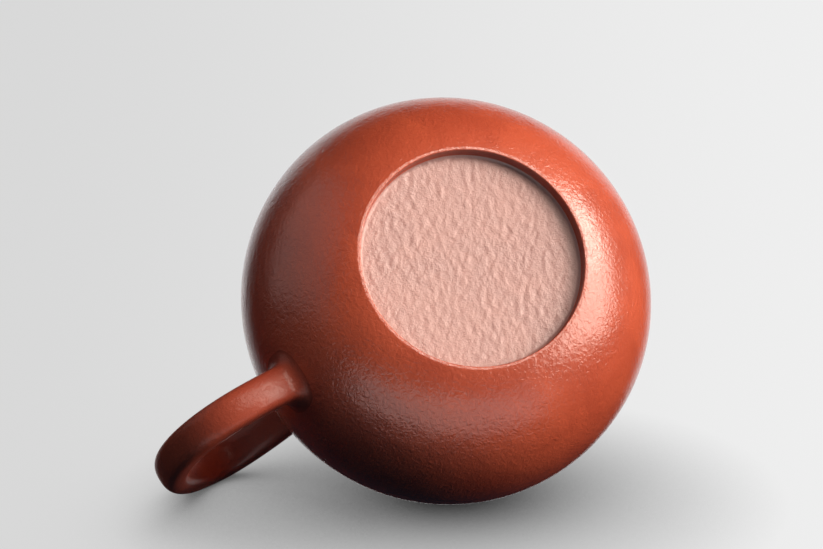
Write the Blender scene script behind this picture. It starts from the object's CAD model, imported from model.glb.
import logging
import math
from dataclasses import dataclass, field
from enum import Enum

import bpy
import numpy as np
from mathutils import Matrix, Vector


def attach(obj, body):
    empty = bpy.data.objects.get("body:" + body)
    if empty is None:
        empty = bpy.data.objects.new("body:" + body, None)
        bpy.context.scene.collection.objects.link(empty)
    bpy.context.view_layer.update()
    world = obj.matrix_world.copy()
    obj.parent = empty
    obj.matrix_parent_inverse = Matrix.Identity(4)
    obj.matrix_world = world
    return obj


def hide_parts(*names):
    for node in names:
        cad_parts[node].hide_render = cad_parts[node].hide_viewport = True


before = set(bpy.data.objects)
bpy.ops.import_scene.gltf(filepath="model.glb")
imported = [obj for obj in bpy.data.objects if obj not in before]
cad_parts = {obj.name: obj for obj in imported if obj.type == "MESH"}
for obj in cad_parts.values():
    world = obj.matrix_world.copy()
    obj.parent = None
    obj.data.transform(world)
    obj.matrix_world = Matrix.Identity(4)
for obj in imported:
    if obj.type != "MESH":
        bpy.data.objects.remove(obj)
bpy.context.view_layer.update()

# Sizes are millimetres throughout, as in the CAD source, and become metres where a mesh is made.
MM = 0.001
# Stands in for a length of nothing where a vector is divided by its own.
TINY = 1e-12
Array = np.ndarray
log = logging.getLogger("teapot")


# ---------------------------------------------------------------------------------------------
# Materials
# ---------------------------------------------------------------------------------------------

def linear(colour: str) -> tuple[float, float, float, float]:
    """Turns an sRGB colour into linear light.

    Args:
        colour: the colour as "#rrggbb".

    Returns:
        Red, green and blue in linear light, and an alpha of 1.
    """
    parts = np.array([int(colour[i:i + 2], 16) for i in (1, 3, 5)]) / 255
    light = np.where(parts <= 0.04045, parts / 12.92, ((parts + 0.055) / 1.055) ** 2.4)
    return (*light.tolist(), 1.0)


def add_node(tree: bpy.types.NodeTree, kind: str, settings: dict | None = None,
             inputs: dict | None = None) -> bpy.types.Node:
    """Adds a node to a tree, sets it up and links it.

    Args:
        tree: the node tree.
        kind: the node's Blender type.
        settings: its properties, by name.
        inputs: its input sockets, by name or number: a value to set, or a socket to link from.

    Returns:
        The new node.
    """
    node = tree.nodes.new(kind)
    for name, value in (settings or {}).items():
        setattr(node, name, value)
    for name, value in (inputs or {}).items():
        if isinstance(value, bpy.types.NodeSocket):
            tree.links.new(value, node.inputs[name])
        else:
            node.inputs[name].default_value = value
    return node


def empty_tree(owner: bpy.types.Material | bpy.types.World) -> bpy.types.NodeTree:
    """Turns on the nodes of a material or a world and clears them.

    Args:
        owner: the material or world.

    Returns:
        Its node tree, with nothing in it.
    """
    owner.use_nodes = True
    owner.node_tree.nodes.clear()
    return owner.node_tree


@dataclass(frozen=True)
class ClayFinish:
    """One way that the pot's unglazed red clay was finished before it was fired.

    The clay body is the same everywhere: iron-red stoneware with fine quartz and mica grit. What
    differs is how far the surface was closed with the horn burnisher, which sets the gloss, and
    what relief the tools left. All lengths are millimetres on the real surface: a size is that
    of one cloud, grain, swell, wrinkle or pit, and a depth is how far it stands out or in.
    """

    name: str
    deep: str
    bright: str
    grit_pale: str
    grit_dark: str
    cloud_size: float
    grit_size: float
    rough: float
    skin: float
    skin_rough: float
    swell_size: float
    swell_depth: float
    wrinkle_size: float
    wrinkle_depth: float
    pit_size: float
    pit_depth: float
    ior: float = 1.5
    rough_spread: float = 0.05

    def build(self) -> bpy.types.Material:
        """Makes the procedural material.

        Clouds of deeper and brighter clay, then pale and dark grit, give the colour. The clay
        itself scatters light broadly, a little more or less with the same clouds, and the skin
        that burnishing closed lies over it as a sharper coat. Hand-beaten swells, fine
        wrinkles and pits are laid over each other as bump.

        Returns:
            The material, ready to be put in a piece's slot.
        """
        material = bpy.data.materials.new(self.name)
        tree = empty_tree(material)
        place = add_node(tree, "ShaderNodeTexCoord").outputs["Object"]
        clouds, grit, swells, wrinkles = (
            add_node(tree, "ShaderNodeTexNoise", None,
                     {"Vector": place, "Scale": 1 / (size * MM), "Detail": detail,
                      "Roughness": 0.55, "Distortion": warp}).outputs["Fac"]
            for size, detail, warp in ((self.cloud_size, 5.0, 0.6), (self.grit_size, 2.0, 0.0),
                                       (self.swell_size, 1.0, 0.0), (self.wrinkle_size, 3.0, 0.8)))
        cells = add_node(tree, "ShaderNodeTexVoronoi", {"feature": "SMOOTH_F1"},
                         {"Vector": place, "Scale": 1 / (self.pit_size * MM),
                          "Smoothness": 0.6}).outputs["Distance"]
        # Each pattern's useful range, and what it becomes: three shares of colour, the clay's
        # roughness, and the height of the pits' edges.
        tone, pale, dark, rough, pits = (
            add_node(tree, "ShaderNodeMapRange", {"interpolation_type": "SMOOTHSTEP"},
                     {"Value": value, "From Min": low, "From Max": high,
                      "To Min": to_low, "To Max": to_high}).outputs["Result"]
            for value, low, high, to_low, to_high in (
                (clouds, 0.35, 0.65, 0.0, 1.0),
                (grit, 0.62, 0.72, 0.0, 0.25),
                (grit, 0.38, 0.28, 0.0, 0.30),
                (clouds, 0.30, 0.70, self.rough - self.rough_spread,
                 self.rough + self.rough_spread),
                (cells, 0.0, 0.45, 0.0, 1.0)))
        # A colour mix takes its share at input 0 and its colours at 6 and 7.
        colour = linear(self.deep)
        for share, over in ((tone, self.bright), (pale, self.grit_pale), (dark, self.grit_dark)):
            colour = add_node(tree, "ShaderNodeMix", {"data_type": "RGBA"},
                              {0: share, 6: colour, 7: linear(over)}).outputs[2]
        relief = {}
        for height, depth in ((swells, self.swell_depth), (wrinkles, self.wrinkle_depth),
                              (pits, self.pit_depth)):
            bump = add_node(tree, "ShaderNodeBump", None,
                            {"Strength": 1.0, "Distance": depth * MM, "Height": height, **relief})
            relief = {"Normal": bump.outputs["Normal"]}
        shader = add_node(tree, "ShaderNodeBsdfPrincipled", None,
                          {"Base Color": colour, "Roughness": rough, "IOR": self.ior,
                           "Coat Weight": self.skin, "Coat Roughness": self.skin_rough,
                           "Coat Normal": relief["Normal"], **relief})
        add_node(tree, "ShaderNodeOutputMaterial", None, {"Surface": shader.outputs["BSDF"]})
        return material


class Finish(Enum):
    """The finishes of the pot's clay."""

    # Burnished leather-hard with a horn blade: closed, softly glossy, with a fine leathery skin.
    BURNISHED = ClayFinish(
        name="red stoneware, horn-burnished", deep="#9c412a", bright="#aa492e",
        grit_pale="#b5684d", grit_dark="#7a301e", cloud_size=16.0, grit_size=0.35,
        rough=0.50, skin=0.95, skin_rough=0.15, swell_size=6.0,
        swell_depth=0.12, wrinkle_size=0.9, wrinkle_depth=0.12, pit_size=1.3,
        pit_depth=0.015, ior=1.34)
    # The handle's clay: the same, dulled a little where fingers rub it.
    HANDLED = ClayFinish(
        name="red stoneware, rubbed by hands", deep="#7e3120", bright="#893824",
        grit_pale="#985040", grit_dark="#682718", cloud_size=16.0, grit_size=0.35,
        rough=0.62, skin=0.22, skin_rough=0.20, swell_size=6.0,
        swell_depth=0.10, wrinkle_size=0.9, wrinkle_depth=0.08, pit_size=1.3,
        pit_depth=0.012, ior=1.30)
    # Pressed and patted, never burnished: the crumpled, paler skin of the sunken base.
    PATTED = ClayFinish(
        name="red stoneware, patted", deep="#966963", bright="#a0736c",
        grit_pale="#b78b7e", grit_dark="#7f4b40", cloud_size=9.0, grit_size=0.30,
        rough=0.50, skin=0.60, skin_rough=0.42, swell_size=6.0,
        swell_depth=0.04, wrinkle_size=0.45, wrinkle_depth=0.10, pit_size=0.8,
        pit_depth=0.010, ior=1.7)
    # Scraped inside with a bamboo rib and left as it was: dry, slightly dusty.
    SCRAPED = ClayFinish(
        name="red stoneware, scraped", deep="#97402a", bright="#a74c32",
        grit_pale="#bd6a4b", grit_dark="#6e2b1c", cloud_size=12.0, grit_size=0.40,
        rough=0.66, skin=0.0, skin_rough=0.50, swell_size=8.0,
        swell_depth=0.10, wrinkle_size=0.7, wrinkle_depth=0.060, pit_size=1.1,
        pit_depth=0.020)


@dataclass
class ClayBench:
    """Makes each finish once and hands it out."""

    made: dict[Finish, bpy.types.Material] = field(default_factory=dict)

    def take(self, finish: Finish) -> bpy.types.Material:
        """Hands out the material of a finish, made on first use.

        Args:
            finish: the finish.

        Returns:
            Its material, the same one each time.
        """
        if finish not in self.made:
            self.made[finish] = finish.value.build()
        return self.made[finish]


# ---------------------------------------------------------------------------------------------
# Curves and surfaces
# ---------------------------------------------------------------------------------------------

def bezier(controls: Array, shares: Array) -> Array:
    """Points of a cubic curve: the four controls weighted by the cubic Bernstein terms.

    Args:
        controls: the four control points, (4, 2).
        shares: places along the curve from 0 to 1, any shape.

    Returns:
        The points, with one more axis of 2 than shares has.
    """
    t = np.asarray(shares)[..., None]
    a, b, c, d = controls
    return (1 - t) ** 3 * a + 3 * t * (1 - t) ** 2 * b + 3 * t * t * (1 - t) * c + t ** 3 * d


def bezier_heading(controls: Array, shares: Array) -> Array:
    """Unit directions of travel along the same curve: its derivative, scaled to length 1.

    Args:
        controls: the four control points, (4, 2).
        shares: places along the curve from 0 to 1, any shape.

    Returns:
        The directions, with one more axis of 2 than shares has.
    """
    t = np.asarray(shares)[..., None]
    a, b, c, d = controls
    along = (1 - t) ** 2 * (b - a) + 2 * t * (1 - t) * (c - b) + t * t * (d - c)
    return along / np.linalg.norm(along, axis=-1, keepdims=True)


def arc(centre: tuple[float, float], radius: float, start: float, stop: float,
        steps: int = 8) -> Array:
    """Points of a circle's arc in the profile plane, from one angle in degrees to another."""
    angles = np.radians(np.linspace(start, stop, steps + 1))
    return np.array(centre) + radius * np.stack([np.cos(angles), np.sin(angles)], axis=-1)


def ruled(start: tuple[float, float], stop: tuple[float, float], steps: int = 8) -> Array:
    """Points of a straight line with its ends left out, closer together near the ends."""
    shares = (1 - np.cos(np.linspace(0, np.pi, steps + 1)[1:-1])) / 2
    return np.array(start) + shares[:, None] * (np.array(stop) - np.array(start))


def turned(profile: Array, steps: int) -> Array:
    """A profile turned about +Z: each (radius, height) goes round to (r cos a, r sin a, z).

    Args:
        profile: the profile's points, (rows, 2).
        steps: points round the axis.

    Returns:
        The grid of points, (rows, steps, 3).
    """
    angles = np.linspace(0, 2 * np.pi, steps, endpoint=False)
    radii = profile[:, 0, None]
    heights = np.broadcast_to(profile[:, 1, None], (len(profile), steps))
    return np.stack([radii * np.cos(angles), radii * np.sin(angles), heights], axis=-1)


def differences(grid: Array, axis: int, closed: bool) -> Array:
    """Differences between each point's two neighbours along one axis of a grid.

    Args:
        grid: the grid of points.
        axis: the axis, 0 for rows and 1 for columns.
        closed: whether the last point along it is next to the first.

    Returns:
        The differences, in the grid's shape.
    """
    if closed:
        return np.roll(grid, -1, axis) - np.roll(grid, 1, axis)
    return np.gradient(grid, axis=axis) * 2


@dataclass
class Shell:
    """A surface on a grid of points, and the triangles that close its ends where it is open.

    The grid's columns always close on themselves. Its rows either do too, as on a ring, or end
    in a cap, a fan of triangles round one point. Where two pieces meet without an edge, both
    take the same known normals in the rows that meet, and no line shows between them.
    """

    grid: Array
    rows_close: bool
    row_finish: Array | None = None
    known: dict[int, Array] = field(default_factory=dict)

    def mesh(self, name: str) -> bpy.types.Mesh:
        """Makes the mesh, with its faces outwards and a normal at each point.

        The normal is the cross product of the differences along rows and along columns, so a
        wide face stays flat up to the rounding beside it.

        Args:
            name: the mesh's name.

        Returns:
            The mesh, in metres.
        """
        rows, columns, _ = self.grid.shape
        numbers = np.arange(rows * columns).reshape(rows, columns)
        wide = np.concatenate([numbers, numbers[:, :1]], axis=1)
        if self.rows_close:
            wide = np.concatenate([wide, wide[:1]], axis=0)
        quads = np.stack([wide[:-1, :-1], wide[:-1, 1:], wide[1:, 1:], wide[1:, :-1]], axis=-1)
        normals = np.cross(differences(self.grid, 0, self.rows_close),
                           differences(self.grid, 1, True)).reshape(-1, 3)
        points = self.grid.reshape(-1, 3)
        fans = np.zeros((0, 3), int)
        if not self.rows_close:
            ends = self.grid[[0, -1]]
            middles = ends.mean(axis=1)
            points = np.concatenate([points, middles])
            normals = np.concatenate([normals, normals[[0, -1]]])
            first = np.full(columns, rows * columns)
            fans = np.concatenate([
                np.stack([wide[0, 1:], wide[0, :-1], first], axis=-1),
                np.stack([wide[-1, :-1], wide[-1, 1:], first + 1], axis=-1)])
        normals /= np.maximum(np.linalg.norm(normals, axis=1, keepdims=True), TINY)
        faces = quads.reshape(-1, 4)
        # The sum of p . (q x r) over the faces is six times the volume, and tells inside from out.
        a, b, c, d = (points[faces[:, k]] for k in range(4))
        volume = np.einsum("ij,ij->", a, np.cross(b, c)) + np.einsum("ij,ij->", a, np.cross(c, d))
        if volume < 0:
            faces = faces[:, ::-1]
            fans = fans[:, ::-1]
        sides = np.cross(b - a, c - a) * np.sign(volume)
        if np.einsum("ij,ij->", sides, normals[quads.reshape(-1, 4)[:, 0]]) < 0:
            normals = -normals
        for row, exact in self.known.items():
            normals[row * columns:(row + 1) * columns] = exact
        mesh = bpy.data.meshes.new(name)
        mesh.from_pydata((points * MM).tolist(), [], [*faces.tolist(), *fans.tolist()])
        if self.row_finish is not None:
            finish = np.zeros(len(mesh.polygons), np.int32)
            finish[:len(faces)] = np.repeat(self.row_finish, columns)
            mesh.polygons.foreach_set("material_index", finish)
        mesh.shade_smooth()
        mesh.normals_split_custom_set_from_vertices(normals.tolist())
        mesh.update()
        return mesh


def add_piece(mesh: bpy.types.Mesh, body: str, nodes: tuple[str, ...],
              materials: list[bpy.types.Material]) -> bpy.types.Object:
    """Puts a finished mesh in the scene as a piece of the pot.

    Args:
        mesh: the mesh, in metres, in its place; the piece takes its name.
        body: the CAD body that the piece rides on.
        nodes: the CAD nodes that the piece stands for.
        materials: the materials for its slots, in order.

    Returns:
        The new object.
    """
    piece = bpy.data.objects.new(mesh.name, mesh)
    bpy.context.scene.collection.objects.link(piece)
    for material in materials:
        mesh.materials.append(material)
    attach(piece, body)
    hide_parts(*nodes)
    log.info("%s: %d faces, rides on %s, stands for %s", piece.name, len(mesh.polygons), body,
             ", ".join(nodes))
    return piece


# ---------------------------------------------------------------------------------------------
# The pot's form and its pieces
# ---------------------------------------------------------------------------------------------

@dataclass(frozen=True)
class BodyForm:
    """The outer form of the pot's body: two smooth curves that meet at the widest line.

    Radii and heights are those of the profile. A pull is how far a curve's control point stands
    off its end, and the edge slope is the surface's angle to the level at the foot and the neck.
    """

    belly_r: float = 42.0
    belly_z: float = 27.6
    top_z: float = 55.8
    flank_pull: float = 15.5
    foot_pull: float = 9.2
    shoulder_pull: float = 11.0
    edge_slope: float = 15.0
    foot_r: float = 22.6
    neck_r: float = 21.1
    wall: float = 2.8

    def _slope(self) -> Array:
        """Direction of the surface at the foot, (radius, height)."""
        angle = math.radians(self.edge_slope)
        return np.array([math.cos(angle), math.sin(angle)])

    def lower(self) -> Array:
        """Control points of the curve from the foot up to the widest line, (4, 2)."""
        foot = np.array([self.foot_r, 0.0])
        return np.array([foot, foot + self.foot_pull * self._slope(),
                         [self.belly_r, self.belly_z - self.flank_pull],
                         [self.belly_r, self.belly_z]])

    def upper(self) -> Array:
        """Control points of the curve from the widest line up to the neck, (4, 2)."""
        neck = np.array([self.neck_r, self.top_z])
        return np.array([[self.belly_r, self.belly_z],
                         [self.belly_r, self.belly_z + self.flank_pull],
                         neck + self.shoulder_pull * self._slope() * [1, -1], neck])

    def skin(self, controls: Array, shares: Array, depth: float = 0.0) -> Array:
        """Points of one curve, set in from the surface along its normal.

        Args:
            controls: the curve's control points.
            shares: places along the curve from 0 to 1.
            depth: how far the points are set in.

        Returns:
            The points, (radius, height).
        """
        along = bezier_heading(controls, shares)
        inward = np.stack([-along[..., 1], along[..., 0]], axis=-1)
        return bezier(controls, shares) + depth * inward

    def seam_normals(self, share: float, steps: int) -> Array:
        """Outward unit normals round the upper curve at a share of it, (steps, 3)."""
        along = bezier_heading(self.upper(), np.array(share))
        return turned(np.array([[along[1], -along[0]]]), steps)[0]

    def outline(self, count: int = 300) -> Array:
        """Points of the whole outer profile from foot to neck, (2 count - 1, 2)."""
        shares = np.linspace(0, 1, count)
        return np.concatenate([bezier(self.lower(), shares), bezier(self.upper(), shares)[1:]])

    def radius_at(self, height: float) -> float:
        """Radius of the outer surface at a height."""
        profile = self.outline()
        return float(np.interp(height, profile[:, 1], profile[:, 0]))

    def above(self, points: Array) -> tuple[Array, Array]:
        """How far points stand off the outer surface, and which way is off it there.

        Each point goes to the nearest point of the profile, and its height is its offset from
        there along the profile's normal.

        Args:
            points: the points, any shape of (..., 3).

        Returns:
            The heights (...), negative inside, and the outward unit normals (..., 3).
        """
        profile = self.outline()
        along = np.gradient(profile, axis=0)
        along /= np.linalg.norm(along, axis=1, keepdims=True)
        across = np.stack([along[:, 1], -along[:, 0]], axis=-1)
        flat = points.reshape(-1, 3)
        radii = np.hypot(flat[:, 0], flat[:, 1])
        here = np.stack([radii, flat[:, 2]], axis=-1)
        gaps = (here[:, None, 0] - profile[:, 0]) ** 2 + (here[:, None, 1] - profile[:, 1]) ** 2
        nearest = np.argmin(gaps, axis=1)
        heights = np.einsum("ij,ij->i", here - profile[nearest], across[nearest])
        spread = across[nearest, 0] / radii
        normals = np.stack([spread * flat[:, 0], spread * flat[:, 1], across[nearest, 1]], axis=-1)
        return heights.reshape(points.shape[:-1]), normals.reshape(points.shape)


@dataclass(frozen=True)
class CrumpledSkin:
    """The relief of the patted base: many overlapping ripples with no order to them.

    Its height is a sum of cosine ripples with random lengths, directions and phases, stretched
    one way, as patting left them. The middle of the base is dished in by d (1 - (r / R)^2),
    where d is the dish and R its reach. The depth is the ripples' typical height.
    """

    depth: float = 0.019
    shortest: float = 0.50
    longest: float = 2.6
    stretch: float = 1.45
    stretch_angle: float = 130.0
    ripples: int = 160
    dish: float = 0.5
    reach: float = 21.0
    seed: int = 7

    def height(self, x: Array, y: Array) -> Array:
        """Height of the relief at places in the base's plane.

        Args:
            x: places along X.
            y: places along Y, in the same shape.

        Returns:
            The heights, in that shape.
        """
        draw = np.random.default_rng(self.seed)
        angle = math.radians(self.stretch_angle)
        along = (x * math.cos(angle) + y * math.sin(angle)) / self.stretch
        across = -x * math.sin(angle) + y * math.cos(angle)
        lengths = draw.uniform(self.shortest, self.longest, self.ripples)
        headings = draw.uniform(0, 2 * np.pi, self.ripples)
        phases = draw.uniform(0, 2 * np.pi, self.ripples)
        total = np.zeros_like(x)
        for length, heading, phase in zip(lengths, headings, phases):
            wave = 2 * np.pi / length
            total += length * np.cos(wave * (along * math.cos(heading)
                                             + across * math.sin(heading)) + phase)
        ripple = self.depth * total / (np.sqrt(np.mean(lengths ** 2) * self.ripples / 2))
        return ripple - self.dish * np.clip(1 - (x * x + y * y) / self.reach ** 2, 0, 1)

    def normals(self, x: Array, y: Array) -> Array:
        """Unit normals of the base at places in its plane, from the relief's slope there.

        The base faces down, so where the relief has height h the normal goes along
        (-dh/dx, -dh/dy, -1).

        Args:
            x: places along X.
            y: places along Y, in the same shape.

        Returns:
            The normals, with one more axis of 3.
        """
        step = 0.005
        across = (self.height(x + step, y) - self.height(x - step, y)) / (2 * step)
        along = (self.height(x, y + step) - self.height(x, y - step)) / (2 * step)
        normals = np.stack([-across, -along, -np.ones_like(x)], axis=-1)
        return normals / np.linalg.norm(normals, axis=-1, keepdims=True)


@dataclass
class Body:
    """The pot's hollow body: wall, sunken base, top slab and mouth ring.

    The land is the narrow foot rim that the pot stands on. The margin is how far a piece runs
    into its neighbour, or how far short of one a wall's inside ends.
    """

    form: BodyForm
    skin: CrumpledSkin
    bench: ClayBench
    land_w: float = 0.7
    land_round: float = 0.22
    recess_d: float = 2.8
    recess_fillet: float = 0.9
    base_t: float = 2.8
    mouth_r: float = 17.5
    ring_h: float = 1.4
    rim_round: float = 0.6
    inside_round: float = 0.3
    margin: float = 0.2
    seam_share: float = 0.85
    patted_share: float = 0.6
    steps: int = 512
    ring_steps: int = 288
    base_cells: int = 300

    @property
    def disc_r(self) -> float:
        """Radius of the flat part of the sunken base."""
        return self.form.foot_r - self.land_w - self.recess_fillet

    @property
    def floor_z(self) -> float:
        """Height of the body's floor inside."""
        return self.recess_d + self.base_t

    @property
    def seat_z(self) -> float:
        """Height of the mouth ring's top, on which the lid rests."""
        return self.form.top_z + self.ring_h

    def build(self) -> None:
        """Makes the body's four pieces."""
        self._wall()
        self._base()
        self._shoulder()
        self._mouth_ring()

    def _wall(self) -> None:
        """Makes the wall: foot rim, flank and shoulder up to the seam, and the inside.

        A closed profile turned about +Z. It runs from the hollow corner of the foot down the
        recess, over the narrow land, up the flank to the seam, and back down the inside. The
        last number of each stretch is how many steps or points it has.
        """
        form = self.form
        land_in = form.foot_r - self.land_w
        soft = self.land_round
        corner = (land_in - self.recess_fillet, self.recess_d - self.recess_fillet)
        hollow = arc(corner, self.recess_fillet, 90, 0, 18)
        recess = ruled((land_in, corner[1]), (land_in, soft), 5)
        edge = arc((land_in + soft, soft), soft, 180, 270, 6)
        land = ruled((land_in + soft, 0.0), (form.foot_r, 0.0), 5)
        # The flank starts a little off the land's outer edge, which eases that edge.
        flank = form.skin(form.lower(), np.linspace(0.004, 1, 48))
        shoulder = form.skin(form.upper(), np.linspace(0, self.seam_share, 40)[1:])
        inside_top = form.skin(form.upper(), np.linspace(self.seam_share, 0, 22), form.wall)
        inside_low = form.skin(form.lower(), np.linspace(1, 0, 30)[1:], form.wall)
        inside_low = inside_low[inside_low[:, 1] > self.floor_z + self.margin]
        floor = np.array([[inside_low[-1, 0] - self.inside_round, self.floor_z],
                          [self.disc_r, self.floor_z]])
        outer = np.concatenate([hollow, recess, edge, land, flank, shoulder])
        inner = np.concatenate([inside_top, inside_low, floor])
        grid = turned(np.concatenate([outer, inner]), self.steps)
        # The patted relief runs out over the hollow corner and is gone at the recess wall.
        fade = np.zeros(len(grid))
        fade[:len(hollow)] = np.cos(np.linspace(0, np.pi / 2, len(hollow))) ** 2
        lift = self.skin.height(grid[:len(hollow), :, 0], grid[:len(hollow), :, 1])
        grid[:len(hollow), :, 2] -= lift * fade[:len(hollow), None]
        # Patted clay in the first rows of the hollow corner, burnished outside, scraped inside.
        rows = np.zeros(len(grid), np.int32)
        rows[:int(self.patted_share * len(hollow))] = 2
        rows[len(outer):] = 1
        known = {0: self.skin.normals(grid[0, :, 0], grid[0, :, 1]),
                 len(outer) - 1: form.seam_normals(self.seam_share, self.steps)}
        mesh = Shell(grid, True, rows, known).mesh("body_wall_clay")
        add_piece(mesh, "pot", ("body_wall",),
                  [self.bench.take(Finish.BURNISHED), self.bench.take(Finish.SCRAPED),
                   self.bench.take(Finish.PATTED)])

    def _base(self) -> None:
        """Makes the sunken base: a square sheet of cells drawn out to a circle, then displaced.

        A cell at (u, v) of the square goes to (u sqrt(1 - v^2/2), v sqrt(1 - u^2/2)) of the unit
        disc, which keeps the cells nearly even. The relief lifts it, and the sheet's border goes
        straight up to the floor inside, where a fan closes it.
        """
        count = self.base_cells + 1
        u, v = np.meshgrid(np.linspace(-1, 1, count), np.linspace(-1, 1, count), indexing="ij")
        x = self.disc_r * u * np.sqrt(1 - v * v / 2)
        y = self.disc_r * v * np.sqrt(1 - u * u / 2)
        sheet = np.stack([x, y, self.recess_d - self.skin.height(x, y)], axis=-1)
        numbers = np.arange(count * count).reshape(count, count)
        border = np.concatenate([numbers[:-1, 0], numbers[-1, :-1], numbers[:0:-1, -1],
                                 numbers[0, :0:-1]])
        points = sheet.reshape(-1, 3)
        top = points[border] * [1, 1, 0] + [0, 0, self.floor_z]
        centre = np.array([[0, 0, self.floor_z]])
        first = count * count
        above = first + np.arange(len(border))
        pole = first + len(border)
        quads = np.stack([numbers[:-1, :-1], numbers[:-1, 1:], numbers[1:, 1:], numbers[1:, :-1]],
                         axis=-1).reshape(-1, 4)
        sides = np.stack([border, np.roll(border, -1), np.roll(above, -1), above], axis=-1)
        fan = np.stack([above, np.roll(above, -1), np.full(len(above), pole)], axis=-1)
        mesh = bpy.data.meshes.new("sunken_base")
        mesh.from_pydata((np.concatenate([points, top, centre]) * MM).tolist(), [],
                         [*quads.tolist(), *sides.tolist(), *fan.tolist()])
        finish = np.zeros(len(mesh.polygons), np.int32)
        finish[len(quads):] = 1
        mesh.polygons.foreach_set("material_index", finish)
        mesh.shade_smooth()
        normals = np.concatenate([self.skin.normals(x, y).reshape(-1, 3),
                                  np.broadcast_to([0.0, 0.0, 1.0], (len(top) + 1, 3))])
        mesh.normals_split_custom_set_from_vertices(normals.tolist())
        mesh.update()
        add_piece(mesh, "pot", ("base_disc",),
                  [self.bench.take(Finish.PATTED), self.bench.take(Finish.SCRAPED)])

    def _shoulder(self) -> None:
        """Makes the top slab: the shoulder from the seam up to the neck, with the mouth in it."""
        form = self.form
        outside = form.skin(form.upper(), np.linspace(self.seam_share, 1, 22))
        inside = form.skin(form.upper(), np.linspace(1, self.seam_share, 14), form.wall)
        inside = inside[inside[:, 0] > self.mouth_r + self.margin]
        under = np.array([[self.mouth_r, float(inside[0, 1]) + self.margin / 2]])
        mouth = ruled((self.mouth_r, form.top_z), (self.mouth_r, float(under[0, 1])), 4)
        top = ruled((form.neck_r, form.top_z), (self.mouth_r, form.top_z), 5)
        edge = np.array([[self.mouth_r, form.top_z]])
        profile = np.concatenate([outside, top, edge, mouth, under, inside])
        rows = np.zeros(len(profile), np.int32)
        rows[len(outside) + len(top) + 1:] = 1
        known = {0: form.seam_normals(self.seam_share, self.steps)}
        mesh = Shell(turned(profile, self.steps), True, rows, known).mesh("shoulder_slab")
        add_piece(mesh, "pot", ("shoulder_disc",),
                  [self.bench.take(Finish.BURNISHED), self.bench.take(Finish.SCRAPED)])

    def _mouth_ring(self) -> None:
        """Makes the low ring round the mouth, with both of its upper rims rounded."""
        low, high, soft = self.form.top_z - self.margin, self.seat_z, self.rim_round
        outer, inner = self.form.neck_r, self.mouth_r
        profile = np.concatenate([
            ruled((outer, low), (outer, high - soft), 6),
            arc((outer - soft, high - soft), soft, 0, 90),
            ruled((outer - soft, high), (inner + soft, high), 8),
            arc((inner + soft, high - soft), soft, 90, 180),
            ruled((inner, high - soft), (inner, low), 6),
            np.array([[inner, low], [outer, low]])])
        mesh = Shell(turned(profile, self.ring_steps), True).mesh("mouth_band")
        add_piece(mesh, "pot", ("mouth_ring",), [self.bench.take(Finish.BURNISHED)])


@dataclass
class Limb:
    """What the handle and the spout share: a tube that grows out of the body.

    Each line along the tube starts a little under the body's surface. Near the surface it is
    pushed outwards, so that the tube and the body meet in a hollow corner, as wet clay worked
    down with a blade does. Lines go along the tube, and each is sampled to find its root.
    """

    form: BodyForm
    bench: ClayBench
    sink: float = 0.3
    lines: int = 96
    samples: int = 240

    def crossings(self, shares: Array, heights: Array, levels: Array) -> Array:
        """Where each line of a tube first rises past each level.

        Args:
            shares: places along the tube at which the heights are known, (samples,).
            heights: heights over the body's surface, (samples, lines).
            levels: the levels to look for, (levels,).

        Returns:
            The shares at which each line passes each level, (levels, lines).
        """
        past = heights[None] > levels[:, None, None]
        index = np.maximum(np.argmax(past, axis=1), 1)
        lines = np.arange(heights.shape[1])[None]
        before, after = heights[index - 1, lines], heights[index, lines]
        part = np.clip((levels[:, None] - before) / (after - before), 0, 1)
        return shares[index - 1] + part * (shares[index] - shares[index - 1])

    def corner_levels(self, corner: float, steps: int = 9) -> Array:
        """Levels at even steps round a hollow corner of a radius, and one under the surface."""
        angles = np.linspace(0, np.pi / 2, steps + 1)
        return np.concatenate([[-self.sink], corner * (1 - np.cos(angles))])

    def spread(self, points: Array, outward: Array, corner: float) -> Array:
        """Pushes a tube's points out into the hollow corner round its root.

        A point at height h under the corner's radius c moves by c - sqrt(c^2 - (c - h)^2) along
        the body's surface, away from the tube's middle line, and then back to height h.

        Args:
            points: the tube's points, (..., 3).
            outward: unit vectors away from the tube's middle line, (..., 3).
            corner: radius of the hollow corner.

        Returns:
            The moved points.
        """
        heights, normals = self.form.above(points)
        rest = np.clip(corner - heights, 0, corner)
        push = corner - np.sqrt(corner ** 2 - rest ** 2)
        aside = outward - np.sum(outward * normals, axis=-1, keepdims=True) * normals
        aside /= np.maximum(np.linalg.norm(aside, axis=-1, keepdims=True), TINY)
        moved = points + push[..., None] * aside
        near = (push > 0)[..., None]
        now, normals = self.form.above(moved)
        return np.where(near, moved + (heights - now)[..., None] * normals, moved)


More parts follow.
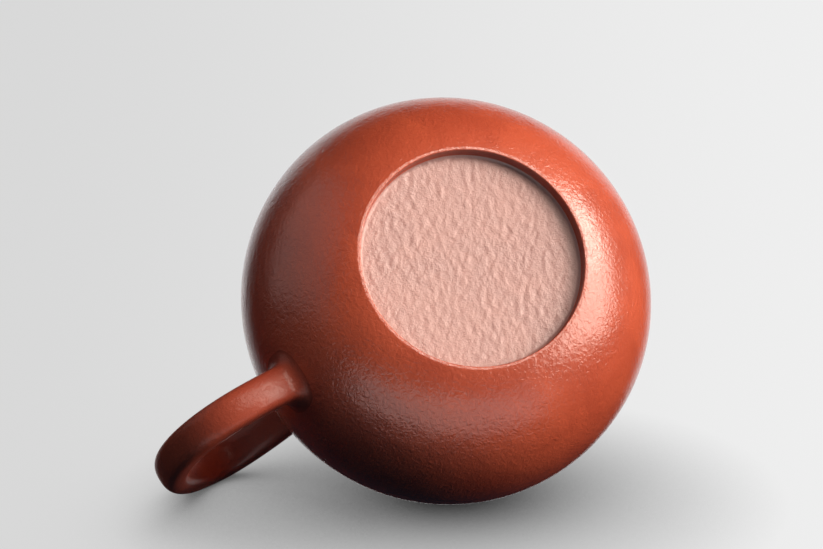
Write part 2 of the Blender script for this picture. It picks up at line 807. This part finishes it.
@dataclass
class Handle(Limb):
    """The loop handle: one tapered roll of clay, bent and luted on at both ends.

    At its roots the middle line drops or climbs by so many degrees as it leaves the body, and a
    pull is how far the curve's control point stands off the root that way.
    """

    root_low_z: float = 18.2
    root_high_z: float = 47.6
    root_low_drop: float = 32.0
    root_high_climb: float = 56.0
    pull_low: float = 54.0
    pull_high: float = 60.0
    width_low: float = 6.9
    width_mid: float = 7.1
    width_high: float = 7.2
    thickness: float = 5.5
    flare: float = 0.8
    corner: float = 2.6
    softness: float = 0.60
    tip_softness: float = 0.78
    flare_fall: float = 16.0
    tip_span: float = 0.3
    samples: int = 200
    middle_rows: int = 150

    def path(self) -> Array:
        """The handle's middle line: one cubic curve in the XZ plane, from root to root.

        Returns:
            Its control points, (4, 2).
        """
        wall = self.form.wall
        low = np.array([self.form.radius_at(self.root_low_z) - wall, self.root_low_z])
        high = np.array([self.form.radius_at(self.root_high_z) - wall, self.root_high_z])
        drop, climb = math.radians(self.root_low_drop), math.radians(self.root_high_climb)
        return np.array([low, low + self.pull_low * np.array([math.cos(drop), -math.sin(drop)]),
                         high + self.pull_high * np.array([math.cos(climb), math.sin(climb)]),
                         high])

    def surface(self, shares: Array, angles: Array) -> tuple[Array, Array]:
        """The handle's surface as a function of place along the loop and angle round it.

        The section is an oval with soft corners, (t/2 c, w/2 s), where c and s are the angle's
        cosine and sine raised to the softness with their signs kept, which rises to the tip's at
        the middle of the loop. Its width w runs through three values along the loop, and both
        sizes spread at the roots by flare exp(-f s), where f is how fast the flare falls off.

        Args:
            shares: places along the loop from 0 to 1, (rows, lines).
            angles: angles round the section, (lines,).

        Returns:
            The points and the unit vectors away from the middle line, both (rows, lines, 3).
        """
        path = self.path()
        middle, along = bezier(path, shares), bezier_heading(path, shares)
        end_w = np.where(shares < 0.5, self.width_low, self.width_high)
        fall = self.flare_fall
        flare = self.flare * (np.exp(-fall * shares) + np.exp(fall * (shares - 1)))
        width = self.width_mid + (end_w - self.width_mid) * (1 - 2 * shares) ** 2 + flare
        thick = self.thickness + flare
        cos, sin = np.cos(angles), np.sin(angles)
        tip = np.exp(-((1 - 2 * shares) / self.tip_span) ** 2)
        power = self.softness + (self.tip_softness - self.softness) * tip
        out = thick / 2 * np.sign(cos) * np.abs(cos) ** power
        side = width / 2 * np.sign(sin) * np.abs(sin) ** power
        offset = np.stack([out * along[..., 1], side, -out * along[..., 0]], axis=-1)
        centre = np.stack([middle[..., 0], np.zeros_like(side), middle[..., 1]], axis=-1)
        return centre + offset, offset / np.linalg.norm(offset, axis=-1, keepdims=True)

    def build(self) -> None:
        """Makes the handle, with its lines gathered at the hollow corners of both roots."""
        angles = np.linspace(0, 2 * np.pi, self.lines, endpoint=False)
        shares = np.linspace(0, 0.5, self.samples)
        wide = np.broadcast_to(shares[:, None], (self.samples, self.lines))
        levels = self.corner_levels(self.corner)
        low, high = (self.crossings(shares, self.form.above(self.surface(places, angles)[0])[0],
                                    levels)
                     for places in (wide, 1 - wide))
        high = 1 - high
        part = np.linspace(0, 1, self.middle_rows)[1:-1, None]
        middle = low[-1] + (high[-1] - low[-1]) * part
        along = np.concatenate([low, middle, high[::-1]])
        points, outward = self.surface(along, angles)
        grid = self.spread(points, outward, self.corner)
        known = {1: self.form.above(grid[1])[1], len(grid) - 2: self.form.above(grid[-2])[1]}
        mesh = Shell(grid, False, known=known).mesh("loop_handle")
        add_piece(mesh, "pot", ("handle",), [self.bench.take(Finish.HANDLED)])


@dataclass
class Spout(Limb):
    """The short spout: a tapered tube with a soft lip, open into the body behind it.

    The reach is how far the tip stands from the pot's axis, and reach_in is how far the middle
    line starts inside the body. The root is looked for over the searched share of that line.
    """

    reach: float = 50.0
    tip_z: float = 54.4
    root_z: float = 37.6
    low_climb: float = 26.0
    tip_climb: float = 60.0
    root_r: float = 13.0
    tip_r: float = 4.7
    wall_root: float = 3.0
    wall_tip: float = 1.5
    reach_in: float = 9.0
    corner: float = 3.0
    lip: float = 0.6
    searched: float = 0.9
    corner_steps: int = 12
    skin_rows: int = 48
    bore_rows: int = 40
    lip_steps: int = 11

    def path(self) -> Array:
        """The spout's middle line: one cubic curve in the XZ plane, going along -X.

        Returns:
            Its control points, (4, 2).
        """
        low = np.array([self.form.radius_at(self.root_z), self.root_z])
        tip = np.array([self.reach, self.tip_z])
        pull = np.linalg.norm(tip - low) / 3
        into, out = (np.array([math.cos(math.radians(a)), math.sin(math.radians(a))])
                     for a in (self.low_climb, self.tip_climb))
        points = np.array([low - self.reach_in * into, low + pull / 2 * into, tip - pull * out,
                           tip])
        return points * [-1, 1]

    def surface(self, shares: Array, angles: Array, inner: bool) -> tuple[Array, Array]:
        """The spout's outer or inner surface: circles carried along the middle line.

        The radius falls from the root's to the tip's with (1 - s)^2.

        Args:
            shares: places along the middle line from 0 to 1, (rows, lines).
            angles: angles round the section, (lines,).
            inner: whether it is the channel.

        Returns:
            The points and the unit vectors away from the middle line, both (rows, lines, 3).
        """
        path = self.path()
        middle, along = bezier(path, shares), bezier_heading(path, shares)
        root = self.root_r - self.wall_root * inner
        tip = self.tip_r - self.wall_tip * inner
        radius = (tip + (root - tip) * (1 - shares) ** 2)[..., None]
        cos, sin = np.cos(angles), np.sin(angles)
        outward = np.stack([cos * along[..., 1], np.broadcast_to(sin, shares.shape),
                            -cos * along[..., 0]], axis=-1)
        centre = np.stack([middle[..., 0], np.zeros_like(shares), middle[..., 1]], axis=-1)
        return centre + radius * outward, outward

    def build(self) -> None:
        """Makes the spout: out along its skin, over the lip, and back down the channel."""
        angles = np.linspace(0, 2 * np.pi, self.lines, endpoint=False)
        samples = np.linspace(0, self.searched, self.samples)
        wide = np.broadcast_to(samples[:, None], (self.samples, self.lines))
        levels = self.corner_levels(self.corner, self.corner_steps)
        skin_points, _ = self.surface(wide, angles, False)
        low = self.crossings(samples, self.form.above(skin_points)[0], levels)
        bore_points, _ = self.surface(wide, angles, True)
        bore = self.crossings(samples, self.form.above(bore_points)[0], np.array([-self.sink]))
        last = 1 - self.lip / np.linalg.norm(3 * np.diff(self.path()[2:], axis=0))
        part = np.linspace(0, 1, self.skin_rows)[1:, None]
        outer, outward = self.surface(np.concatenate([low, low[-1] + (last - low[-1]) * part]),
                                      angles, False)
        outer = self.spread(outer, outward, self.corner)
        part = np.linspace(0, 1, self.bore_rows)[:, None]
        inner, _ = self.surface(last + (bore[0] - last) * part, angles, True)
        # The lip is half an oval from the skin's last circle over to the channel's first.
        turn = np.linspace(0, np.pi, self.lip_steps + 1)[1:-1, None, None]
        lip = (outer[-1] + inner[0]) / 2 + (outer[-1] - inner[0]) / 2 * np.cos(turn)
        heading = bezier_heading(self.path(), np.array(last))
        forward = np.array([heading[0], 0.0, heading[1]])
        lip = lip + self.lip * np.sin(turn) * forward
        known = {1: self.form.above(outer[1])[1]}
        mesh = Shell(np.concatenate([outer, lip, inner]), True, known=known).mesh("pouring_spout")
        add_piece(mesh, "pot", ("spout",), [self.bench.take(Finish.BURNISHED)])


@dataclass
class Lid:
    """The lift-off lid: slab, dome, flange and knob, with a steam vent through the middle.

    The dome starts a ledge in from the slab's rim. The knob's ball is drawn between two angles,
    from the neck's top to the vent's lip, and its neck is one curve that flares on to the dome.
    """

    body: Body
    bench: ClayBench
    over: float = 0.3
    gap: float = 0.3
    plate_t: float = 1.8
    rim_round: float = 0.6
    flange_t: float = 2.2
    flange_h: float = 6.5
    flange_round: float = 0.5
    flange_clear: float = 0.02
    ledge: float = 0.5
    dome_h: float = 5.2
    dome_t: float = 2.0
    knob_r: float = 6.3
    ball_h: float = 9.4
    neck_r: float = 3.6
    neck_h: float = 1.2
    neck_flare: float = 0.8
    neck_run: float = 2.0
    neck_rise: float = 0.25
    neck_pull: float = 1.5
    neck_sink: float = 0.4
    ball_from: float = -46.0
    ball_to: float = 84.0
    vent_r: float = 0.9
    vent_round: float = 0.3
    vent_step: float = 0.05
    steps: int = 288
    knob_steps: int = 192

    @property
    def rim_r(self) -> float:
        """Radius of the lid's rim."""
        return self.body.form.neck_r + self.over

    @property
    def plate_top(self) -> float:
        """Height of the slab's upper face."""
        return self.body.seat_z + self.plate_t

    @property
    def flange_r(self) -> float:
        """Outer radius of the flange."""
        return self.body.mouth_r - self.gap

    @property
    def dome_base(self) -> float:
        """Radius of the dome where it meets the slab."""
        return self.rim_r - self.ledge

    @property
    def ball_r(self) -> float:
        """Radius of the ball that the dome is a slice of."""
        return (self.dome_base ** 2 + self.dome_h ** 2) / (2 * self.dome_h)

    def dome_z(self, radius: Array, inset: float = 0.0) -> Array:
        """Height at a radius of the dome's surface, or of a surface set in from it."""
        centre = self.plate_top + self.dome_h - self.ball_r
        return centre + np.sqrt((self.ball_r - inset) ** 2 - np.asarray(radius) ** 2)

    def build(self) -> None:
        """Makes the lid's four pieces."""
        self._plate()
        self._dome()
        self._flange()
        self._knob()

    def _plate(self) -> None:
        """Makes the slab, a flat ring with a rounded rim, whose lower face rests on the mouth."""
        low, high, soft = self.body.seat_z, self.plate_top, self.rim_round
        inner, outer = self.flange_r - self.flange_t, self.rim_r
        profile = np.concatenate([
            ruled((inner, low), (outer - soft, low), 10),
            arc((outer - soft, low + soft), soft, -90, 0),
            ruled((outer, low + soft), (outer, high - soft), 3),
            arc((outer - soft, high - soft), soft, 0, 90),
            ruled((outer - soft, high), (inner, high), 10),
            np.array([[inner, high]]), ruled((inner, high), (inner, low), 4),
            np.array([[inner, low]])])
        mesh = Shell(turned(profile, self.steps), True).mesh("lid_slab")
        add_piece(mesh, "lid", ("lid_plate",), [self.bench.take(Finish.BURNISHED)])

    def _dome(self) -> None:
        """Makes the dome, a slice of a ball hollowed to an even wall, open at the vent."""
        foot = self.plate_top
        radii = np.linspace(self.dome_base, self.vent_r, 46)
        outer = np.stack([radii, self.dome_z(radii)], axis=-1)
        inner_foot = math.sqrt((self.ball_r - self.dome_t) ** 2 - (self.ball_r - self.dome_h) ** 2)
        back = np.linspace(self.vent_r, inner_foot, 30)
        inner = np.stack([back, self.dome_z(back, self.dome_t)], axis=-1)
        vent = ruled(tuple(outer[-1]), tuple(inner[0]), 3)
        under = ruled((inner_foot, foot), (self.dome_base, foot), 4)
        profile = np.concatenate([outer, vent, inner, under])
        rows = np.zeros(len(profile), np.int32)
        rows[len(outer):] = 1
        mesh = Shell(turned(profile, self.steps), True, rows).mesh("lid_dome_clay")
        add_piece(mesh, "lid", ("lid_dome",),
                  [self.bench.take(Finish.BURNISHED), self.bench.take(Finish.SCRAPED)])

    def _flange(self) -> None:
        """Makes the flange under the slab, a thin ring whose lower edge is softened."""
        # Its top stays a hair under the slab, so that no face of the one lies in the other's.
        high = self.body.seat_z - self.flange_clear
        low, soft = self.body.seat_z - self.flange_h, self.flange_round
        outer, inner = self.flange_r, self.flange_r - self.flange_t
        profile = np.concatenate([
            ruled((outer, high), (outer, low + soft), 6),
            arc((outer - soft, low + soft), soft, 0, -90),
            ruled((outer - soft, low), (inner + soft, low), 3),
            arc((inner + soft, low + soft), soft, -90, -180),
            ruled((inner, low + soft), (inner, high), 6),
            np.array([[inner, high], [outer, high]])])
        mesh = Shell(turned(profile, self.steps), True).mesh("lid_flange_ring")
        add_piece(mesh, "lid_seat", ("lid_flange",),
                  [self.bench.take(Finish.SCRAPED)])

    def _knob(self) -> None:
        """Makes the knob: a flattened ball on a short neck that flares on to the dome."""
        top = self.plate_top + self.dome_h
        middle = top + self.neck_h + self.ball_h / 2
        start = self.neck_r + self.neck_h + self.neck_flare
        foot = float(self.dome_z(start))
        angles = np.radians(np.linspace(self.ball_from, self.ball_to, 44))
        ball = np.stack([self.knob_r * np.cos(angles),
                         middle + self.ball_h / 2 * np.sin(angles)], axis=-1)
        # The neck leaves the dome flat and runs into the ball's under side without an edge.
        heading = (ball[1] - ball[0]) / np.linalg.norm(ball[1] - ball[0])
        controls = np.array([[start, foot], [start - self.neck_run, foot + self.neck_rise],
                             ball[0] - self.neck_pull * heading, ball[0]])
        neck = bezier(controls, np.linspace(0, 1, 16)[:-1])
        soft = self.vent_round
        ball = ball[ball[:, 0] > self.vent_r + soft + self.vent_step]
        crown = float(ball[-1, 1])
        lip = arc((self.vent_r + soft, crown - soft), soft, 80, 180, 6)
        bottom = foot - self.neck_sink
        bore = ruled(tuple(lip[-1]), (self.vent_r, bottom), 8)
        profile = np.concatenate([neck, ball, lip, bore,
                                  np.array([[self.vent_r, bottom], [start, bottom]])])
        mesh = Shell(turned(profile, self.knob_steps), True).mesh("lid_knob")
        add_piece(mesh, "lid", ("knob",), [self.bench.take(Finish.BURNISHED)])


def dress_strainer(bench: ClayBench) -> None:
    """Gives the pierced bowl behind the spout its scraped clay.

    Args:
        bench: where the clay comes from.
    """
    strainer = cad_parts["strainer"]
    strainer.data.materials.clear()
    strainer.data.materials.append(bench.take(Finish.SCRAPED))
    log.info("strainer: the CAD node, dressed")


# ---------------------------------------------------------------------------------------------
# Studio
# ---------------------------------------------------------------------------------------------

@dataclass(frozen=True)
class Viewpoint:
    """Where the pot is seen from: under its foot, as it lies on its shoulder and its handle.

    The eye's place and the lens's length are millimetres.
    """

    eye: tuple[float, float, float] = (127.36, -60.24, -344.72)
    right: tuple[float, float, float] = (-0.82089, -0.54408, -0.1735)
    up: tuple[float, float, float] = (-0.47878, 0.8213, -0.31022)
    lens: float = 85.0

    def axes(self) -> Matrix:
        """The camera's directions, made square to each other.

        Returns:
            Right, up and back as the columns of a matrix.
        """
        right = Vector(self.right).normalized()
        back = right.cross(Vector(self.up)).normalized()
        return Matrix((right, back.cross(right), back)).transposed()

    def build(self) -> None:
        """Makes the camera and gives it to the scene."""
        data = bpy.data.cameras.new("camera")
        data.lens = self.lens
        data.clip_start, data.clip_end = 0.01, 50.0
        camera = bpy.data.objects.new("camera", data)
        camera.matrix_world = Matrix.Translation(Vector(self.eye) * MM) @ self.axes().to_4x4()
        bpy.context.scene.collection.objects.link(camera)
        bpy.context.scene.camera = camera


@dataclass(frozen=True)
class Softbox:
    """A flat soft light that looks at the pot. Its direction is (right, up, back) of the view.

    Sizes are metres, and the radiance is that of the panel's face, where a white wall in full
    light has about 1. A panel without gloss only lifts the clay's own colour, and one without
    diffuse light only shows as a sheen.
    """

    name: str
    direction: tuple[float, float, float]
    distance: float
    width: float
    height: float
    radiance: float
    colour: str = "#ffffff"
    glossy: bool = True
    diffuse: bool = True

    def build(self, axes: Matrix, target: Vector) -> None:
        """Makes the light.

        Args:
            axes: the view's directions, as columns.
            target: the point that the light looks at, in metres.
        """
        data = bpy.data.lights.new(self.name, "AREA")
        data.shape = "RECTANGLE"
        data.size, data.size_y = self.width, self.height
        data.energy = self.radiance * math.pi * self.width * self.height
        data.color = linear(self.colour)[:3]
        light = bpy.data.objects.new(self.name, data)
        back = (axes @ Vector(self.direction)).normalized()
        side = (axes.col[1]).cross(back).normalized()
        turn = Matrix((side, back.cross(side), back)).transposed()
        light.matrix_world = Matrix.Translation(target + back * self.distance) @ turn.to_4x4()
        light.visible_camera = False
        light.visible_glossy = self.glossy
        light.visible_diffuse = self.diffuse
        bpy.context.scene.collection.objects.link(light)


@dataclass(frozen=True)
class Backdrop:
    """The pale wall behind and the floor's shade: a little darker on the left of the view."""

    across: tuple[float, float, float]
    left: str = "#d8d8d8"
    right: str = "#efefef"

    def shade(self, tree: bpy.types.NodeTree, place: bpy.types.NodeSocket,
              reach: float) -> bpy.types.NodeSocket:
        """Adds the shade's nodes to a tree.

        Args:
            tree: the node tree.
            place: a position or direction in the pot's frame.
            reach: how far along the view's right the shade goes on changing, each way.

        Returns:
            The colour's socket.
        """
        along = add_node(tree, "ShaderNodeVectorMath", {"operation": "DOT_PRODUCT"},
                         {0: place, 1: self.across}).outputs["Value"]
        share = add_node(tree, "ShaderNodeMapRange", {"interpolation_type": "SMOOTHSTEP"},
                         {"Value": along, "From Min": -reach, "From Max": reach})
        return add_node(tree, "ShaderNodeMix", {"data_type": "RGBA"},
                        {0: share.outputs["Result"], 6: linear(self.left),
                         7: linear(self.right)}).outputs[2]


@dataclass(frozen=True)
class Floor:
    """A plain pale floor, seen from its upper side only and by the camera alone.

    It is evenly lit, with a soft shadow where the pot comes near, and thins out with its
    distance from the pot, so that no horizon shows against the backdrop. Distances are metres,
    and the offset, from the origin along the normal, is millimetres.
    """

    name: str
    normal: tuple[float, float, float]
    offset: float
    solid_to: float
    gone_at: float
    shadow_reach: float = 0.055
    shadow_samples: int = 12

    def build(self, backdrop: Backdrop) -> None:
        """Makes the floor: a square sheet whose under side lets the view through.

        Args:
            backdrop: the wall whose shade the floor takes.
        """
        material = bpy.data.materials.new(self.name)
        tree = empty_tree(material)
        place = add_node(tree, "ShaderNodeTexCoord").outputs["Object"]
        shade = backdrop.shade(tree, place, reach=0.10)
        near = add_node(tree, "ShaderNodeAmbientOcclusion", {"samples": self.shadow_samples},
                        {"Color": shade, "Distance": self.shadow_reach}).outputs["Color"]
        light = add_node(tree, "ShaderNodeEmission", None, {"Color": near})
        clear = add_node(tree, "ShaderNodeBsdfTransparent")
        under = add_node(tree, "ShaderNodeNewGeometry").outputs["Backfacing"]
        away = add_node(tree, "ShaderNodeVectorMath", {"operation": "LENGTH"}, {0: place})
        thin = add_node(tree, "ShaderNodeMapRange", {"interpolation_type": "SMOOTHSTEP"},
                        {"Value": away.outputs["Value"], "From Min": self.solid_to,
                         "From Max": self.gone_at}).outputs["Result"]
        gone = add_node(tree, "ShaderNodeMath", {"operation": "MAXIMUM"}, {0: under, 1: thin})
        both = add_node(tree, "ShaderNodeMixShader", None,
                        {0: gone.outputs[0], 1: light.outputs[0], 2: clear.outputs[0]})
        add_node(tree, "ShaderNodeOutputMaterial", None, {"Surface": both.outputs[0]})
        normal = Vector(self.normal).normalized()
        side = normal.orthogonal().normalized()
        ahead = normal.cross(side)
        # The sheet reaches a tenth past the distance at which nothing of it shows.
        corners = [1.1 * self.gone_at * (a * side + b * ahead)
                   for a, b in ((-1, -1), (1, -1), (1, 1), (-1, 1))]
        mesh = bpy.data.meshes.new(self.name)
        mesh.from_pydata([tuple(c) for c in corners], [], [(0, 1, 2, 3)])
        mesh.materials.append(material)
        floor = bpy.data.objects.new(self.name, mesh)
        floor.location = normal * self.offset * MM
        bpy.context.scene.collection.objects.link(floor)
        floor.visible_shadow = False
        floor.visible_diffuse = False
        floor.visible_glossy = False


@dataclass(frozen=True)
class Studio:
    """Floors, soft lights and surroundings."""

    viewpoint: Viewpoint
    room: str = "#10151f"
    daylight: str = "#ffefe0"
    aim_z: float = 28.0

    def build(self) -> None:
        """Makes the floors, the lights and the surroundings."""
        backdrop = Backdrop(self.viewpoint.right)
        Floor("table", normal=(0, 0, 1), offset=0.0, solid_to=0.16,
              gone_at=0.60).build(backdrop)
        Floor("table_under_lying_pot", normal=(-0.38213, 0.74911, -0.54112), offset=-55.6,
              solid_to=0.04, gone_at=0.13, shadow_reach=0.04).build(backdrop)
        axes = self.viewpoint.axes()
        target = Vector((0, 0, self.aim_z)) * MM
        # Each light's name and direction, its distance, its width and height, and its radiance.
        for box in (
            # The window: a tall bright panel on the right, and the long strip of its top.
            Softbox("key", (0.857, 0.361, 0.368), 0.80, 0.58, 0.69, 9.4, self.daylight),
            Softbox("key_top", (0.566, 0.628, 0.534), 0.80, 0.90, 0.24, 9.2, self.daylight),
            Softbox("left_wall", (-0.83, 0.48, 0.24), 0.90, 1.00, 0.90, 0.55),
            Softbox("back_wall", (0.0, 0.20, -0.98), 1.00, 1.30, 0.95, 0.86),
            # The table's pale front, which only shows as a sheen low on the clay.
            Softbox("table_front", (0.09, -0.65, 0.75), 0.80, 1.50, 0.46, 1.5, diffuse=False),
            # The ceiling, which only lifts the lid and the shoulder.
            Softbox("ceiling", (-0.20, -0.02, -0.98), 1.00, 0.80, 0.80, 13.0, glossy=False),
        ):
            box.build(axes, target)
        self._surroundings(backdrop)

    def _surroundings(self, backdrop: Backdrop) -> None:
        """Makes the surroundings: a pale wall where the view meets them, a dark room for light.

        Args:
            backdrop: the pale wall.
        """
        world = bpy.data.worlds.new("room")
        tree = empty_tree(world)
        way = add_node(tree, "ShaderNodeTexCoord").outputs["Generated"]
        wall = backdrop.shade(tree, way, reach=0.25)
        seen = add_node(tree, "ShaderNodeBackground", None, {"Color": wall})
        room = add_node(tree, "ShaderNodeBackground", None, {"Color": linear(self.room)})
        camera = add_node(tree, "ShaderNodeLightPath").outputs["Is Camera Ray"]
        both = add_node(tree, "ShaderNodeMixShader", None,
                        {0: camera, 1: room.outputs[0], 2: seen.outputs[0]})
        add_node(tree, "ShaderNodeOutputWorld", None, {"Surface": both.outputs[0]})
        bpy.context.scene.world = world


def main() -> None:
    """Builds the pot piece by piece, then the studio round it."""
    logging.basicConfig(level=logging.INFO, format="%(message)s")
    bpy.context.scene.view_settings.view_transform = "Standard"
    form = BodyForm()
    bench = ClayBench()
    body = Body(form, CrumpledSkin(), bench)
    body.build()
    Handle(form, bench).build()
    Spout(form, bench).build()
    Lid(body, bench).build()
    dress_strainer(bench)
    viewpoint = Viewpoint()
    viewpoint.build()
    Studio(viewpoint).build()


if __name__ == "__main__":
    main()
